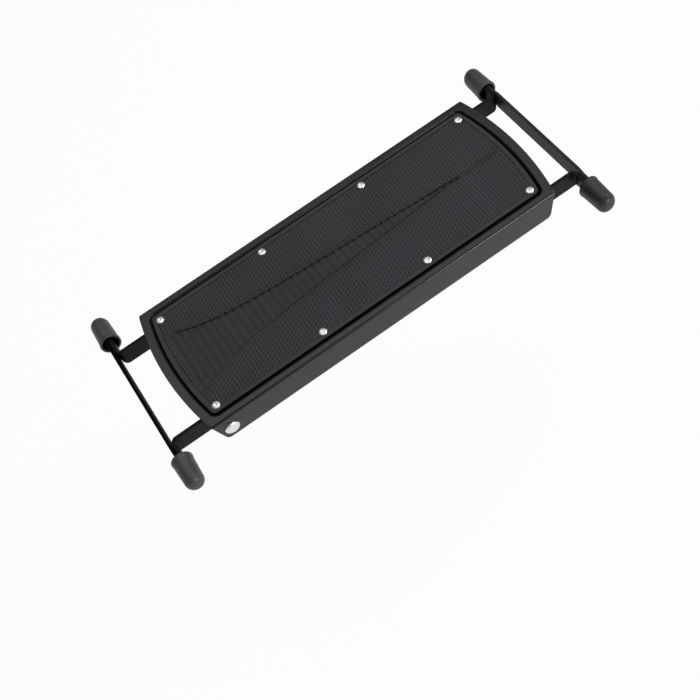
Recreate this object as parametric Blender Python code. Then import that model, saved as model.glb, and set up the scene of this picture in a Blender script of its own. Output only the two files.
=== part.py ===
"""A folding guitar footrest: a pressed steel tray with a rubber tread, on a scissor stand.

The stand is folded flat. X runs along the tray, from the end that carries the pivot rivets to
the free end. Y runs across it, and the near side is at -Y. Z is up, and the tray's flanges
stand on Z = 0. All lengths are in metres.

The long legs turn on the tray's pivot rivets. The short legs cross them at the scissor rivets,
and the short legs' upper ends carry a rod that runs in two notched racks under the tray.
"""

import math

import bmesh
import bpy
from mathutils import Matrix, Vector

# Gaps between pieces, and how far a cutter runs past what it cuts
SEAT_GAP = 0.0003
OVERRUN = 0.002

# Tray: pressed sheet with a recess for the tread and a flange along each side
TRAY_LENGTH = 0.280
TRAY_WIDTH = 0.1118
END_BULGE = 0.0072
TRAY_CORNER = 0.0008
SHEET = 0.0014
FLANGE_HEIGHT = 0.0232
FLANGE_BEND = 0.0022
FLANGE_END_SLOPE = 0.0052
FLANGE_END_CORNER = 0.0040
RIM_WIDTH = 0.0050
RIM_LIP = 0.0012
RECESS_DEPTH = 0.0029
RECESS_DRAFT = 0.0010
RECESS_CORNER = 0.0062
RECESS_FLOOR_RADIUS = 0.0010

# Tread: a rubber mat with a sunk, tapering band of cross grooves. The field beside the band
# stands a little above the smooth border, as high as the tops of its fine dots.
MAT_MARGIN = 0.0041
MAT_THICKNESS = 0.0015
MAT_CORNER = 0.0036
MAT_EDGE = 0.0003
BORDER_INSET = 0.0034
BORDER_WIDTH = 0.0006
BORDER_DEPTH = 0.0003
DOT_RISE = 0.0001
FIELD_MARGIN = 0.0004
BAND_START_INSET = 0.0085
BAND_TIP_INSET = 0.0410
BAND_TIP_WIDTH = 0.0008
BAND_TAPER_SHARE = 0.0635
BAND_FLARE = 0.0138
BAND_FLARE_LENGTH = 0.026
BAND_DEPTH = 0.0003
GROOVE_PITCH = 0.00567
GROOVE_WIDTH = 0.0020
GROOVE_DEPTH = 0.0007
GROOVE_REACH = 0.0005
GROOVE_SHORTEST = 0.0022
BAND_STEPS = 20
BAND_STEP_SHARE = 1.6

# Rivets that hold the tread, in two rows of four. The margins are from the mat's long edges
# and from the tray's corners.
MAT_RIVET_SIDE_MARGIN = 0.0045
MAT_RIVET_END_MARGIN = 0.0109
MAT_RIVET_HEAD = 0.0030
MAT_RIVET_HEAD_HEIGHT = 0.0010
MAT_RIVET_SHANK = 0.0016
MAT_RIVET_DIMPLE = 0.0010
MAT_RIVET_DIMPLE_DEPTH = 0.0006
MAT_RIVET_TAIL = 0.0025
MAT_RIVET_TAIL_HEIGHT = 0.0007
MAT_RIVET_SEAT_DEPTH = 0.0001
MAT_RIVET_ANGLES = (0.4, 0.85)

# Legs: flat bar whose foot end is bent outwards into a tab
BAR_HEIGHT = 0.0152
BAR_THICKNESS = 0.0026
TAB_HEIGHT = 0.0114
TAB_CORNER = 0.0040
TAB_PAST_FLANGE = 0.0146
BEND_INNER = 0.0016
BEND_STEPS = 6

# Scissor: where the pivots lie when folded, and how far the stand opens
PIVOT_INSET = 0.0115
PIVOT_DROP = 0.0132
PIVOT_TO_CROSSING = 0.1152
ROD_INSET = 0.0103
LONG_FOOT_REACH = 0.0270
SHORT_FOOT_REACH = 0.0295
NOTCH_ANGLES = (19.0, 25.0, 31.0, 37.0, 43.3)

# Crossbars between the feet
CROSSBAR_THICKNESS = 0.0024
CROSSBAR_HEIGHT = 0.0140
CROSSBAR_NECK_INSET = 0.0035
CROSSBAR_TAPER = 0.0060
CROSSBAR_PAST_TAB = 0.0015

# Rubber caps on the feet: oval at the mouth, where the steel stretches them
CAP_PAST_FLANGE = 0.0026
CAP_DEEPEST_PUSH = 0.0040
CAP_LENGTH = 0.0240
CAP_DOME = 0.0060
CAP_MOUTH_X = 0.0076
CAP_MOUTH_Z = 0.0092
CAP_DOME_X = 0.0069
CAP_DOME_Z = 0.0084
CAP_DOME_ANGLES = (0.25, 0.6, 0.95, 1.3)
CAP_LIP = 0.0004
CAP_LIP_LENGTH = 0.0022
CAP_BORE_MOUTH_X = 0.0061
CAP_BORE_MOUTH_Z = 0.0076
CAP_BORE_END_X = 0.0053
CAP_BORE_END_Z = 0.0069
CAP_BORE_LENGTH = 0.0190
CAP_BORE_EDGE = 0.0012

# Pivot and scissor rivets, with their bushes and washers
RIVET_SHANK = 0.0027
PIVOT_HEAD = 0.0056
PIVOT_HEAD_HEIGHT = 0.0019
PIVOT_TAIL = 0.0044
PIVOT_SINK_DEPTH = 0.0016
BUSH_RADIUS = 0.0060
BUSH_LENGTH = 0.0062
SCISSOR_HEAD = 0.0054
SCISSOR_HEAD_HEIGHT = 0.0018
SCISSOR_TAIL = 0.0042
SCISSOR_TAIL_HEIGHT = 0.0013
WASHER_RADIUS = 0.0060
WASHER_THICKNESS = 0.0008

# A domed rivet head from its edge to its middle: shares of its radius and of its height
DOME_RADIUS_SHARES = (1.0, 1.0, 0.93, 0.72, 0.38, 0.0)
DOME_HEIGHT_SHARES = (0.0, 0.35, 0.62, 0.87, 1.0, 1.0)

# Latch rod and the racks it runs in
ROD_RADIUS = 0.0030
ROD_TENON = 0.0022
ROD_CHAMFER = 0.0005
RACK_TO_LEG = 0.0035
RACK_THICKNESS = 0.0020
RACK_FOOT = 0.0120
RACK_BEND = 0.0032
RACK_BEHIND_SLOT = 0.0097
RACK_BEYOND_SLOT = 0.0037
RACK_BELOW_SLOT = 0.0032
RACK_CORNER = 0.0040
SLOT_ABOVE_ROD = 0.0007
SLOT_BELOW_ROD = 0.0016
SLOT_END_GAP = 0.0008
NOTCH_CLEARANCE = 0.0004
NOTCH_DEPTH = 0.0024

# Facet counts
END_ARC_STEPS = 12
CORNER_STEPS = 4
GROOVE_END_STEPS = 3
CAP_STEPS = 24
ROUND_STEPS = 20
SMALL_ROUND_STEPS = 12
SMOOTH_ANGLE = math.radians(32.0)

# Places worked out from the sizes above
TRAY_TOP = FLANGE_HEIGHT
HALF_LENGTH = TRAY_LENGTH / 2
HALF_WIDTH = TRAY_WIDTH / 2
END_RADIUS = (END_BULGE ** 2 + HALF_WIDTH ** 2) / (2 * END_BULGE)
PIVOT_X = PIVOT_INSET - HALF_LENGTH
PIVOT_Z = TRAY_TOP - PIVOT_DROP
LONG_FOOT_X = HALF_LENGTH + LONG_FOOT_REACH
SHORT_FOOT_X = -HALF_LENGTH - SHORT_FOOT_REACH
FOOT_PACK = CROSSBAR_THICKNESS + SEAT_GAP + BAR_THICKNESS
LONG_CAP_X = LONG_FOOT_X + CROSSBAR_THICKNESS / 2 - FOOT_PACK / 2
SHORT_CAP_X = SHORT_FOOT_X - CROSSBAR_THICKNESS / 2 + FOOT_PACK / 2
TRAY_X = -(LONG_CAP_X + SHORT_CAP_X) / 2
CROSSING_X = PIVOT_X + PIVOT_TO_CROSSING
ROD_X = HALF_LENGTH - ROD_INSET
CROSSING_TO_ROD = ROD_X - CROSSING_X
LONG_LEG_OUTER_Y = HALF_WIDTH - SHEET - BUSH_LENGTH - 2 * SEAT_GAP
SHORT_LEG_OUTER_Y = LONG_LEG_OUTER_Y - BAR_THICKNESS - WASHER_THICKNESS - 2 * SEAT_GAP
RACK_WEB_Y = SHORT_LEG_OUTER_Y - BAR_THICKNESS - RACK_TO_LEG
TAB_END_Y = HALF_WIDTH + TAB_PAST_FLANGE
CROSSBAR_END_Y = TAB_END_Y + CROSSBAR_PAST_TAB
CAP_MOUTH_Y = HALF_WIDTH + CAP_PAST_FLANGE
CROSSBAR_NECK_Y = HALF_WIDTH - CROSSBAR_NECK_INSET
RIVET_HOLE = RIVET_SHANK + SEAT_GAP
MAT_RIVET_HOLE = MAT_RIVET_SHANK + SEAT_GAP
MAT_TOP = TRAY_TOP - RECESS_DEPTH + SEAT_GAP + MAT_THICKNESS
MAT_BOTTOM = MAT_TOP - MAT_THICKNESS
BORDER_TOP = MAT_TOP - DOT_RISE
RIVET_SEAT = BORDER_TOP - MAT_RIVET_SEAT_DEPTH
PAN_UNDERSIDE = TRAY_TOP - RECESS_DEPTH - SHEET
MAT_OUTLINE_INSET = RIM_WIDTH + MAT_MARGIN
MAT_RIVET_Y = HALF_WIDTH - MAT_OUTLINE_INSET - MAT_RIVET_SIDE_MARGIN
MAT_RIVET_OUTER_X = HALF_LENGTH - MAT_RIVET_END_MARGIN
MAT_RIVET_INNER_X = MAT_RIVET_OUTER_X / 3
BAND_START = BAND_START_INSET - HALF_LENGTH
BAND_TIP = HALF_LENGTH - BAND_TIP_INSET


# Scene and mesh helpers

def clear_scene():
    """Remove every object, so that the script starts from an empty scene."""
    for item in list(bpy.data.objects):
        bpy.data.objects.remove(item, do_unlink=True)


def make_material(name, colour, roughness, metallic):
    """Return a Principled material with a colour, a roughness and a metallic value."""
    surface = bpy.data.materials.new(name)
    surface.use_nodes = True
    shader = surface.node_tree.nodes["Principled BSDF"]
    shader.inputs["Base Color"].default_value = (*colour, 1.0)
    shader.inputs["Roughness"].default_value = roughness
    shader.inputs["Metallic"].default_value = metallic
    return surface


def make_object(name, shape, surface=None):
    """Turn a bmesh into an object whose faces point outwards, with smooth round faces."""
    bmesh.ops.recalc_face_normals(shape, faces=shape.faces)
    mesh = bpy.data.meshes.new(name)
    shape.to_mesh(mesh)
    shape.free()
    if surface:
        mesh.materials.append(surface)
    item = bpy.data.objects.new(name, mesh)
    bpy.context.collection.objects.link(item)
    mesh.shade_smooth()
    mesh.set_sharp_from_angle(angle=SMOOTH_ANGLE)
    return item


def combine(target, other, operation):
    """Run one exact Boolean on target, keep its result and remove the other object."""
    step = target.modifiers.new("shape", "BOOLEAN")
    step.operation = operation
    step.solver = "EXACT"
    step.object = other
    graph = bpy.context.evaluated_depsgraph_get()
    result = bpy.data.meshes.new_from_object(target.evaluated_get(graph))
    target.modifiers.clear()
    target.data = result
    bpy.data.objects.remove(other, do_unlink=True)
    result.shade_smooth()
    result.set_sharp_from_angle(angle=SMOOTH_ANGLE)


def cut(target, cutters):
    """Take each cutter away from target."""
    for cutter in cutters:
        cutter.hide_render = True
        cutter.display_type = "WIRE"
        combine(target, cutter, "DIFFERENCE")


def loft(rings):
    """Skin a stack of rings that have equal point counts, and close both ends."""
    shape = bmesh.new()
    rows = [[shape.verts.new(point) for point in ring] for ring in rings]
    count = len(rings[0])
    for lower, upper in zip(rows, rows[1:]):
        for index in range(count):
            following = (index + 1) % count
            shape.faces.new((lower[index], lower[following], upper[following], upper[index]))
    shape.faces.new(list(reversed(rows[0])))
    shape.faces.new(rows[-1])
    return shape


def prism(outline, axis, low, high):
    """Extrude a flat outline along an axis. Outlines are (x, y), (x, z) or (y, z)."""
    def place(point, depth):
        first, second = point
        if axis == "X":
            return (depth, first, second)
        if axis == "Y":
            return (first, depth, second)
        return (first, second, depth)
    return loft([[place(point, depth) for point in outline] for depth in (low, high)])


def cylinder(centre, axis, radius, low, high, steps=ROUND_STEPS):
    """Return a round bar along an axis, given its centre in the plane across that axis."""
    ring = []
    for index in range(steps):
        angle = 2 * math.pi * index / steps
        ring.append((centre[0] + radius * math.cos(angle), centre[1] + radius * math.sin(angle)))
    return prism(ring, axis, low, high)


def turned(profile, steps):
    """Spin a profile of (radius, height) pairs round Z. It starts and ends on the axis."""
    shape = bmesh.new()
    rows = []
    for radius, height in profile:
        if radius == 0:
            rows.append([shape.verts.new((0, 0, height))])
            continue
        row = []
        for index in range(steps):
            angle = 2 * math.pi * index / steps
            row.append(shape.verts.new((radius * math.cos(angle), radius * math.sin(angle), height)))
        rows.append(row)
    for lower, upper in zip(rows, rows[1:]):
        for index in range(steps):
            following = (index + 1) % steps
            corners = [lower[index % len(lower)], lower[following % len(lower)],
                       upper[following % len(upper)], upper[index % len(upper)]]
            shape.faces.new(list(dict.fromkeys(corners)))
    return shape


def ring_solid(inner, outer, low, high, steps):
    """Return a flat tube round Z between two radii and two heights."""
    shape = bmesh.new()
    rows = []
    for radius, height in ((inner, low), (outer, low), (outer, high), (inner, high)):
        row = []
        for index in range(steps):
            angle = 2 * math.pi * index / steps
            row.append(shape.verts.new((radius * math.cos(angle), radius * math.sin(angle), height)))
        rows.append(row)
    for side in range(len(rows)):
        lower, upper = rows[side], rows[(side + 1) % len(rows)]
        for index in range(steps):
            following = (index + 1) % steps
            shape.faces.new((lower[index], lower[following], upper[following], upper[index]))
    return shape


def move(shape, matrix):
    """Move a bmesh by a matrix and return it."""
    bmesh.ops.transform(shape, matrix=matrix, verts=shape.verts)
    return shape


def along_y(side, x, y, z):
    """Matrix that lays a shape turned round Z along the outward Y direction of one side."""
    turn = Matrix.Rotation(-side * math.pi / 2, 4, "X")
    return Matrix.Translation((x, side * y, z)) @ turn


# Outlines

def arc(centre, radius, start, end, steps):
    """Points on an arc, both ends included. Angles are in radians."""
    points = []
    for index in range(steps + 1):
        angle = start + (end - start) * index / steps
        points.append((centre[0] + radius * math.cos(angle), centre[1] + radius * math.sin(angle)))
    return points


def rounded(points, radii, steps=CORNER_STEPS):
    """Round the corners of an open path. A radius of zero leaves its corner sharp."""
    result = [points[0]]
    for index in range(1, len(points) - 1):
        corner = Vector(points[index])
        radius = radii[index - 1]
        if radius == 0:
            result.append(tuple(corner))
            continue
        before = (Vector(points[index - 1]) - corner).normalized()
        after = (Vector(points[index + 1]) - corner).normalized()
        half = before.angle(after) / 2
        middle = corner + (before + after).normalized() * radius / math.sin(half)
        first = corner + before * radius / math.tan(half) - middle
        last = corner + after * radius / math.tan(half) - middle
        sweep = first.angle_signed(last)
        for step in range(steps + 1):
            turn = Matrix.Rotation(-sweep * step / steps, 2)
            result.append(tuple(middle + turn @ first))
    result.append(points[-1])
    return result


def tray_outline(inset, corner):
    """The tray's plan, drawn in by an inset: straight sides, bowed ends and round corners.

    Each end is an arc about a centre on the X axis. A corner's own centre lies at the arc's
    radius less the corner's, so the corner touches both the arc and the straight side.
    """
    bow = END_RADIUS - inset
    centre_x = HALF_LENGTH + END_BULGE - END_RADIUS
    corner_y = HALF_WIDTH - inset - corner
    corner_x = centre_x + math.sqrt((bow - corner) ** 2 - corner_y ** 2)
    lean = math.atan2(corner_y, corner_x - centre_x)
    right = arc((centre_x, 0), bow, -lean, lean, END_ARC_STEPS)
    right += arc((corner_x, corner_y), corner, lean, math.pi / 2, CORNER_STEPS)[1:]
    lower = arc((corner_x, -corner_y), corner, -math.pi / 2, -lean, CORNER_STEPS)[:-1]
    half = lower + right
    return [(TRAY_X + x, y) for x, y in half] + [(TRAY_X - x, -y) for x, y in half]


def tray_ring(inset, corner, z):
    """The tray's plan as a ring at one height."""
    return [(x, y, z) for x, y in tray_outline(inset, corner)]


def recess_ring(inset, drop):
    """A ring of the recess. Its corners shrink as it is drawn in, so that its wall is even."""
    return tray_ring(inset, RECESS_CORNER - (inset - RIM_WIDTH), TRAY_TOP - drop)


# Tray

def make_channel():
    """The sheet bent down along both sides, with its ends cut to the tray's plan."""
    outer = [(HALF_WIDTH, 0), (HALF_WIDTH, TRAY_TOP), (-HALF_WIDTH, TRAY_TOP), (-HALF_WIDTH, 0)]
    inside = HALF_WIDTH - SHEET
    inner = [(-inside, 0), (-inside, TRAY_TOP - SHEET), (inside, TRAY_TOP - SHEET), (inside, 0)]
    section = rounded(outer, (FLANGE_BEND, FLANGE_BEND))
    section += rounded(inner, (FLANGE_BEND - SHEET, FLANGE_BEND - SHEET))
    reach = HALF_LENGTH + END_BULGE + OVERRUN
    channel = make_object("tray", prism(section, "X", TRAY_X - reach, TRAY_X + reach))
    plan = prism(tray_outline(0, TRAY_CORNER), "Z", -OVERRUN, TRAY_TOP + OVERRUN)
    combine(channel, make_object("plan", plan), "INTERSECT")
    return channel


def flange_end_cutter(end, side):
    """A wedge that leans a flange's end inwards and rounds its lower corner."""
    top = TRAY_TOP - FLANGE_BEND
    beyond = HALF_LENGTH + END_BULGE
    foot_x = HALF_LENGTH - FLANGE_END_SLOPE
    path = [(HALF_LENGTH, top), (foot_x, 0), (foot_x - FLANGE_HEIGHT, 0)]
    path = rounded(path, (FLANGE_END_CORNER,))
    path += [(foot_x - FLANGE_HEIGHT, -OVERRUN), (beyond, -OVERRUN), (beyond, top)]
    outline = [(TRAY_X + end * x, z) for x, z in path]
    depths = sorted((side * (HALF_WIDTH - FLANGE_BEND), side * (HALF_WIDTH + OVERRUN)))
    return make_object("flange_end", prism(outline, "Y", *depths))


def pan_solid():
    """The outside of the pressed recess, from the middle of the sheet down to its underside."""
    slant = math.hypot(RECESS_DRAFT, RECESS_DEPTH) / RECESS_DEPTH
    lean = RECESS_DRAFT / RECESS_DEPTH
    depth = RECESS_DEPTH + SHEET
    top = RIM_WIDTH - SHEET * slant
    path = [(top + lean * SHEET / 2, SHEET / 2), (top + lean * depth, depth)]
    path.append((top + lean * depth + RECESS_CORNER / 2, depth))
    path = rounded(path, (RECESS_FLOOR_RADIUS + SHEET,))
    return make_object("pan", loft([recess_ring(inset, drop) for inset, drop in path]))


def recess_cutter():
    """The hollow of the recess: a rounded lip, a leaning wall and a rounded floor edge."""
    floor = RIM_WIDTH + RECESS_DRAFT
    path = [(RIM_WIDTH - 2 * RIM_LIP, 0), (RIM_WIDTH, 0), (floor, RECESS_DEPTH)]
    path.append((floor + RECESS_CORNER / 2, RECESS_DEPTH))
    path = rounded(path, (RIM_LIP, RECESS_FLOOR_RADIUS))[1:]
    rings = [recess_ring(path[0][0], -OVERRUN)]
    rings += [recess_ring(inset, drop) for inset, drop in path]
    return make_object("recess", loft(rings))


def mat_rivet_places():
    """The eight rivets of the tread: each row from the pivot end, the near row first."""
    places = []
    for side in (-1, 1):
        for x in (-MAT_RIVET_OUTER_X, -MAT_RIVET_INNER_X, MAT_RIVET_INNER_X, MAT_RIVET_OUTER_X):
            places.append((TRAY_X + x, side * MAT_RIVET_Y))
    return places


def mat_rivet_cutters(profile):
    """The same turned cutter at each of the tread's rivets."""
    return [make_object("hole", move(turned(profile, SMALL_ROUND_STEPS), Matrix.Translation((x, y, 0))))
            for x, y in mat_rivet_places()]


def make_tray(paint):
    """The tray: a bent channel, a pressed recess, leaning flange ends and drilled holes."""
    tray = make_channel()
    combine(tray, pan_solid(), "UNION")
    cutters = [recess_cutter()]
    cutters += [flange_end_cutter(end, side) for end in (-1, 1) for side in (-1, 1)]
    low = PAN_UNDERSIDE - OVERRUN
    cutters += mat_rivet_cutters([(0, low), (MAT_RIVET_HOLE, low), (MAT_RIVET_HOLE, MAT_TOP), (0, MAT_TOP)])
    pivot = (TRAY_X + PIVOT_X, PIVOT_Z)
    for side in (-1, 1):
        depths = sorted((side * (HALF_WIDTH - SHEET - OVERRUN), side * (HALF_WIDTH + OVERRUN)))
        cutters.append(make_object("hole", cylinder(pivot, "Y", RIVET_HOLE, *depths)))
    cut(tray, cutters)
    tray.data.materials.clear()
    tray.data.materials.append(paint)
    return tray


# Tread

def band_half_width(x):
    """Half the band's width at x: a straight taper to the tip, plus a flare that dies away."""
    flare = BAND_FLARE * math.exp(-(x - BAND_START) / BAND_FLARE_LENGTH)
    return BAND_TAPER_SHARE * (BAND_TIP - x) + flare + BAND_TIP_WIDTH / 2


def band_cutter():
    """The sunk floor of the band, as wide at each place as the taper and flare make it."""
    edge = []
    for index in range(BAND_STEPS + 1):
        share = (index / BAND_STEPS) ** BAND_STEP_SHARE
        x = BAND_START + (BAND_TIP - BAND_START) * share
        edge.append((x, band_half_width(x)))
    outline = [(TRAY_X + x, -y) for x, y in edge] + [(TRAY_X + x, y) for x, y in reversed(edge)]
    return make_object("band", prism(outline, "Z", MAT_TOP - BAND_DEPTH, MAT_TOP + OVERRUN))


def groove_cutters():
    """One cutter that holds every cross groove. Each groove's ends are round."""
    half = GROOVE_WIDTH / 2
    shape = bmesh.new()
    x = BAND_START + GROOVE_PITCH / 2
    while 2 * band_half_width(x) > GROOVE_SHORTEST:
        reach = band_half_width(x) + GROOVE_REACH - half
        centre = TRAY_X + x
        outline = arc((centre, reach), half, 0, math.pi, GROOVE_END_STEPS)
        outline += arc((centre, -reach), half, math.pi, 2 * math.pi, GROOVE_END_STEPS)
        single = prism(outline, "Z", MAT_TOP - GROOVE_DEPTH, MAT_TOP + OVERRUN)
        bmesh.ops.recalc_face_normals(single, faces=single.faces)
        piece = bpy.data.meshes.new("groove")
        single.to_mesh(piece)
        single.free()
        shape.from_mesh(piece)
        bpy.data.meshes.remove(piece)
        x += GROOVE_PITCH
    return make_object("grooves", shape)


def border_cutter():
    """A fine V groove that runs round the tread, a little in from its edge."""
    first = MAT_OUTLINE_INSET + BORDER_INSET
    corner = MAT_CORNER
    rows = ((first, BORDER_TOP + BORDER_DEPTH), (first + BORDER_WIDTH / 2, BORDER_TOP - BORDER_DEPTH),
            (first + BORDER_WIDTH, BORDER_TOP + BORDER_DEPTH))
    shape = bmesh.new()
    rings = [[shape.verts.new(point) for point in tray_ring(inset, corner, z)] for inset, z in rows]
    count = len(rings[0])
    for row in range(len(rings)):
        lower, upper = rings[row], rings[(row + 1) % len(rings)]
        for index in range(count):
            following = (index + 1) % count
            shape.faces.new((lower[index], lower[following], upper[following], upper[index]))
    return make_object("border", shape)


def make_tread(rubber):
    """The rubber mat, with its border line, its sunk band, the grooves and the rivet holes."""
    inset = MAT_OUTLINE_INSET
    field = inset + BORDER_INSET + BORDER_WIDTH + FIELD_MARGIN
    rings = [tray_ring(inset, MAT_CORNER, MAT_BOTTOM)]
    rings.append(tray_ring(inset, MAT_CORNER, BORDER_TOP - MAT_EDGE))
    rings.append(tray_ring(inset + MAT_EDGE, MAT_CORNER - MAT_EDGE, BORDER_TOP))
    rings.append(tray_ring(field, MAT_CORNER, BORDER_TOP))
    rings.append(tray_ring(field, MAT_CORNER, MAT_TOP))
    tread = make_object("tread_mat", loft(rings))
    cutters = [border_cutter(), band_cutter(), groove_cutters()]
    low, high = MAT_BOTTOM - OVERRUN, MAT_TOP + OVERRUN
    seat = MAT_RIVET_HEAD + SEAT_GAP
    step = [(MAT_RIVET_HOLE, low), (MAT_RIVET_HOLE, RIVET_SEAT), (seat, RIVET_SEAT), (seat, high)]
    cutters = mat_rivet_cutters([(0, low), *step, (0, high)]) + cutters
    cut(tread, cutters)
    tread.data.materials.clear()
    tread.data.materials.append(rubber)
    return tread


def make_mat_rivets(steel):
    """Domed rivets with the dimple that their mandrel leaves, and a low tail under the tray."""
    under = RIVET_SEAT + SEAT_GAP
    head = [(MAT_RIVET_HEAD * math.cos(angle), under + MAT_RIVET_HEAD_HEIGHT * math.sin(angle))
            for angle in MAT_RIVET_ANGLES]
    brim = under + MAT_RIVET_HEAD_HEIGHT
    tail = PAN_UNDERSIDE - SEAT_GAP
    profile = [(0, tail - MAT_RIVET_TAIL_HEIGHT), (MAT_RIVET_SHANK, tail - MAT_RIVET_TAIL_HEIGHT)]
    profile += [(MAT_RIVET_TAIL, tail - MAT_RIVET_TAIL_HEIGHT / 2), (MAT_RIVET_TAIL, tail)]
    profile += [(MAT_RIVET_SHANK, tail), (MAT_RIVET_SHANK, under), (MAT_RIVET_HEAD, under)]
    profile += head
    profile += [(MAT_RIVET_DIMPLE, brim), (0, brim - MAT_RIVET_DIMPLE_DEPTH)]
    for number, (x, y) in enumerate(mat_rivet_places(), start=1):
        shape = turned(profile, SMALL_ROUND_STEPS)
        move(shape, Matrix.Translation((x, y, 0)))
        make_object(f"mat_rivet_{number}", shape, steel)


# Racks, pivot rivets and bushes on the tray

def rod_travel_x(angle):
    """Where the rod lies along the tray when the long legs have turned by an angle.

    The rod stays level with the pivot, so the short legs' angle comes from
    crossing_to_rod * sin(short) = pivot_to_crossing * sin(long).
    """
    short = math.asin(PIVOT_TO_CROSSING * math.sin(angle) / CROSSING_TO_ROD)
    return PIVOT_X + PIVOT_TO_CROSSING * math.cos(angle) + CROSSING_TO_ROD * math.cos(short)


def make_rack(name, side, paint):
    """An angle plate under the tray. The rod runs in its slot and lifts into its notches."""
    slot_top = PIVOT_Z + ROD_RADIUS + SLOT_ABOVE_ROD
    slot_bottom = PIVOT_Z - ROD_RADIUS - SLOT_BELOW_ROD
    bottom = slot_bottom - RACK_BELOW_SLOT
    top = PAN_UNDERSIDE - SEAT_GAP
    web_in = RACK_WEB_Y - RACK_THICKNESS
    outer = [(RACK_WEB_Y, bottom), (RACK_WEB_Y, top), (RACK_WEB_Y - RACK_FOOT, top)]
    inner = [(RACK_WEB_Y - RACK_FOOT, top - RACK_THICKNESS), (web_in, top - RACK_THICKNESS)]
    inner.append((web_in, bottom))
    section = rounded(outer, (RACK_BEND,)) + rounded(inner, (RACK_BEND - RACK_THICKNESS,))
    section = [(side * y, z) for y, z in section]
    last_x = rod_travel_x(math.radians(NOTCH_ANGLES[-1]))
    slot_back = TRAY_X + last_x - ROD_RADIUS - SLOT_END_GAP
    slot_front = TRAY_X + ROD_X + ROD_RADIUS + SLOT_END_GAP
    back = slot_back - RACK_BEHIND_SLOT
    front = slot_front + RACK_BEYOND_SLOT
    rack = make_object(name, prism(section, "X", back, front))
    depths = sorted((side * (web_in - OVERRUN), side * (RACK_WEB_Y + OVERRUN)))
    radius = (slot_top - slot_bottom) / 2
    middle = (slot_top + slot_bottom) / 2
    slot = arc((slot_back + radius, middle), radius, math.pi / 2, 3 * math.pi / 2, 2 * CORNER_STEPS)
    slot += arc((slot_front - radius, middle), radius, -math.pi / 2, math.pi / 2, 2 * CORNER_STEPS)
    cutters = [make_object("slot", prism(slot, "Y", *depths))]
    notch = ROD_RADIUS + NOTCH_CLEARANCE
    for angle in NOTCH_ANGLES:
        centre = (TRAY_X + rod_travel_x(math.radians(angle)), slot_top + NOTCH_DEPTH - notch)
        cutters.append(make_object("notch", cylinder(centre, "Y", notch, *depths)))
    for end, corner_x in ((-1, back), (1, front)):
        path = [(corner_x, bottom + RACK_FOOT), (corner_x, bottom)]
        path.append((corner_x - end * RACK_FOOT, bottom))
        outline = rounded(path, (RACK_CORNER,))
        outline += [(corner_x - end * RACK_FOOT, bottom - OVERRUN)]
        outline += [(corner_x + end * OVERRUN, bottom - OVERRUN)]
        outline += [(corner_x + end * OVERRUN, bottom + RACK_FOOT)]
        cutters.append(make_object("rack_corner", prism(outline, "Y", *depths)))
    cut(rack, cutters)
    rack.data.materials.clear()
    rack.data.materials.append(paint)
    return rack


def domed_head(radius, height, base):
    """Profile points of a low domed head that stands on a base height, edge first."""
    return [(radius * across, base + height * up)
            for across, up in zip(DOME_RADIUS_SHARES, DOME_HEIGHT_SHARES)]


def make_pivot_rivet(name, side, steel):
    """A rivet through the flange, the bush and the long leg, its tail sunk in the leg."""
    flange = HALF_WIDTH + SEAT_GAP
    leg_inside = LONG_LEG_OUTER_Y - BAR_THICKNESS
    tail = leg_inside + SEAT_GAP
    profile = [(0, tail), (PIVOT_TAIL, tail)]
    profile += [(RIVET_SHANK, tail + PIVOT_SINK_DEPTH - 2 * SEAT_GAP)]
    profile += [(RIVET_SHANK, flange)]
    profile += domed_head(PIVOT_HEAD, PIVOT_HEAD_HEIGHT, flange)
    shape = move(turned(profile, ROUND_STEPS), along_y(side, TRAY_X + PIVOT_X, 0, PIVOT_Z))
    return make_object(name, shape, steel)


def make_bush(name, side, steel):
    """A spacer tube that holds the long leg off the inside of the flange."""
    low = LONG_LEG_OUTER_Y + SEAT_GAP
    high = HALF_WIDTH - SHEET - SEAT_GAP
    shape = ring_solid(RIVET_HOLE, BUSH_RADIUS, low, high, ROUND_STEPS)
    move(shape, along_y(side, TRAY_X + PIVOT_X, 0, PIVOT_Z))
    return make_object(name, shape, steel)


# Legs, crossbars and caps

def leg_blank(length, bend_start, bend_length):
    """The flat blank of a leg: a round pivot end, a straight bar and a narrower tab."""
    half = BAR_HEIGHT / 2
    tab = TAB_HEIGHT / 2
    outline = arc((0, 0), half, math.pi / 2, 3 * math.pi / 2, 2 * CORNER_STEPS)
    outline.append((bend_start, -half))
    outline.append((bend_start + bend_length, -tab))
    outline += arc((length - TAB_CORNER, TAB_CORNER - tab), TAB_CORNER, -math.pi / 2, 0, CORNER_STEPS)
    outline += arc((length - TAB_CORNER, tab - TAB_CORNER), TAB_CORNER, 0, math.pi / 2, CORNER_STEPS)
    outline.append((bend_start + bend_length, tab))
    outline.append((bend_start, half))
    return outline


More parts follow.
